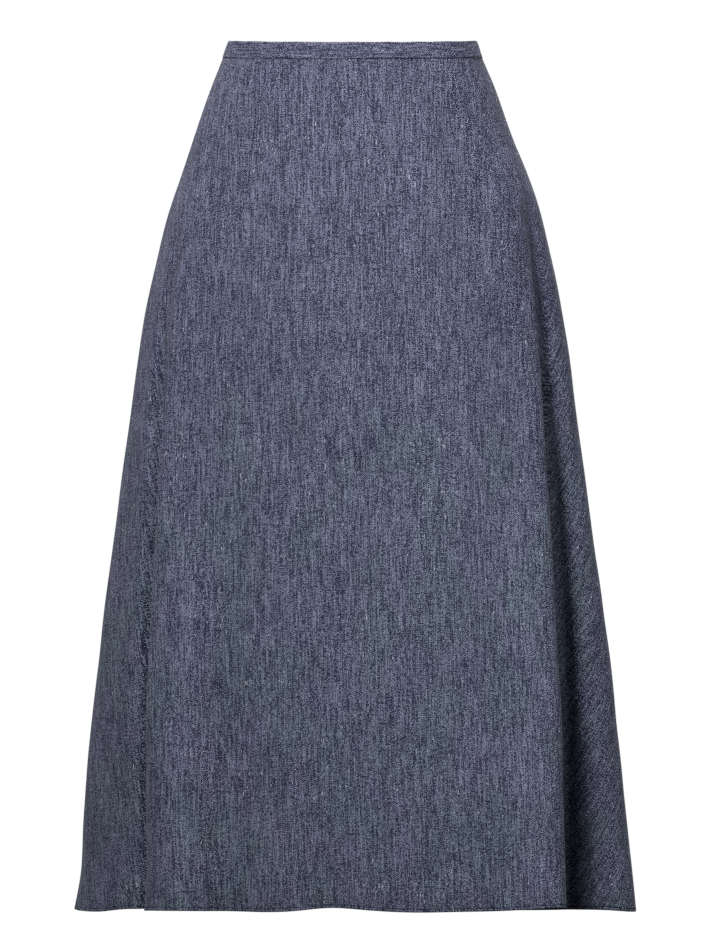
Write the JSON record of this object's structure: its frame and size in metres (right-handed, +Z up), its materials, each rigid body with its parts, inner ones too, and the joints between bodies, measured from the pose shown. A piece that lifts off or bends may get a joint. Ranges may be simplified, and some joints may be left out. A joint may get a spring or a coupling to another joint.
{
  "type": "midi skirt",
  "caption": "A-line midi skirt in blue chambray, worn and hollow, with a narrow waistband, soft side folds and a concealed back zip.",
  "frame": {"origin": "middle of the waist's upper edge, where the wearer holds the skirt up", "axes": "+Z up along the skirt, the front faces -Y, the wearer's left side is +X"},
  "size_m": [0.5167, 0.3216, 0.8007],
  "materials": {
    "chambray": "matte slubby weave, light and dark blue threads",
    "tape": "matte navy woven tape",
    "coil": "satin navy nylon",
    "zip_metal": "satin navy lacquer"
  },
  "bodies": {
    "skirt": {"waistband": "chambray", "front": "chambray", "back_left": "chambray", "back_right": "chambray", "zip_tape_left": "tape", "zip_tape_right": "tape", "zip_coil": "coil", "zip_slider": "zip_metal"},
    "pull": {"zip_pull": "zip_metal"}
  },
  "joints": [
    {"name": "pull_hinge", "type": "hinge", "parent": "skirt", "child": "pull", "pos_m": [0, 0.10159, -0.00609], "axis": [1, 0, 0], "range_deg": [0, 165]}
  ]
}
